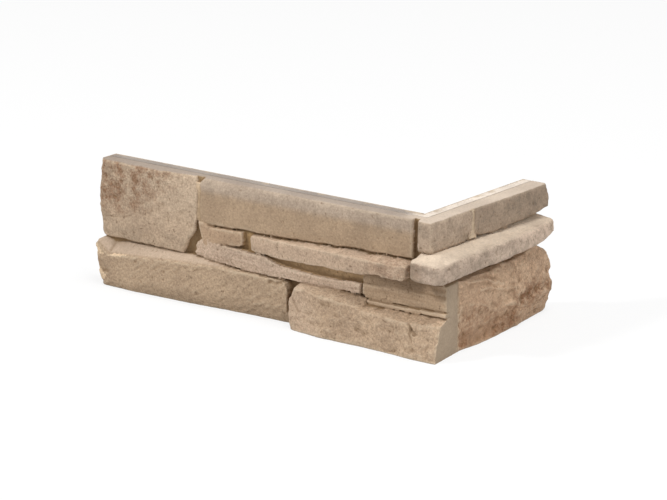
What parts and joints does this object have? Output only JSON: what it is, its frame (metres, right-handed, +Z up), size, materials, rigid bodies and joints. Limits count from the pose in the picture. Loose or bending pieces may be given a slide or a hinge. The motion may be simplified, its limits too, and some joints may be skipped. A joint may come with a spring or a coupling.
{
  "type": "corner cladding tile",
  "caption": "L-shaped concrete cladding tile for a wall corner, cast as stacked rough stones of uneven depth on two flat-backed legs",
  "frame": {"origin": "foot of the inner corner, where the two flat backs and the bed face meet", "axes": "+Z up; long leg along -X with its back on y = 0, facing -Y; short leg along +Y with its back on x = 0, facing +X"},
  "size_m": [0.3389, 0.1709, 0.1],
  "materials": {
    "cast_concrete": "matt, tan with brown and grey tints, rough cast face"
  },
  "bodies": {
    "root": {"corner_tile": "cast_concrete"}
  },
  "joints": []
}
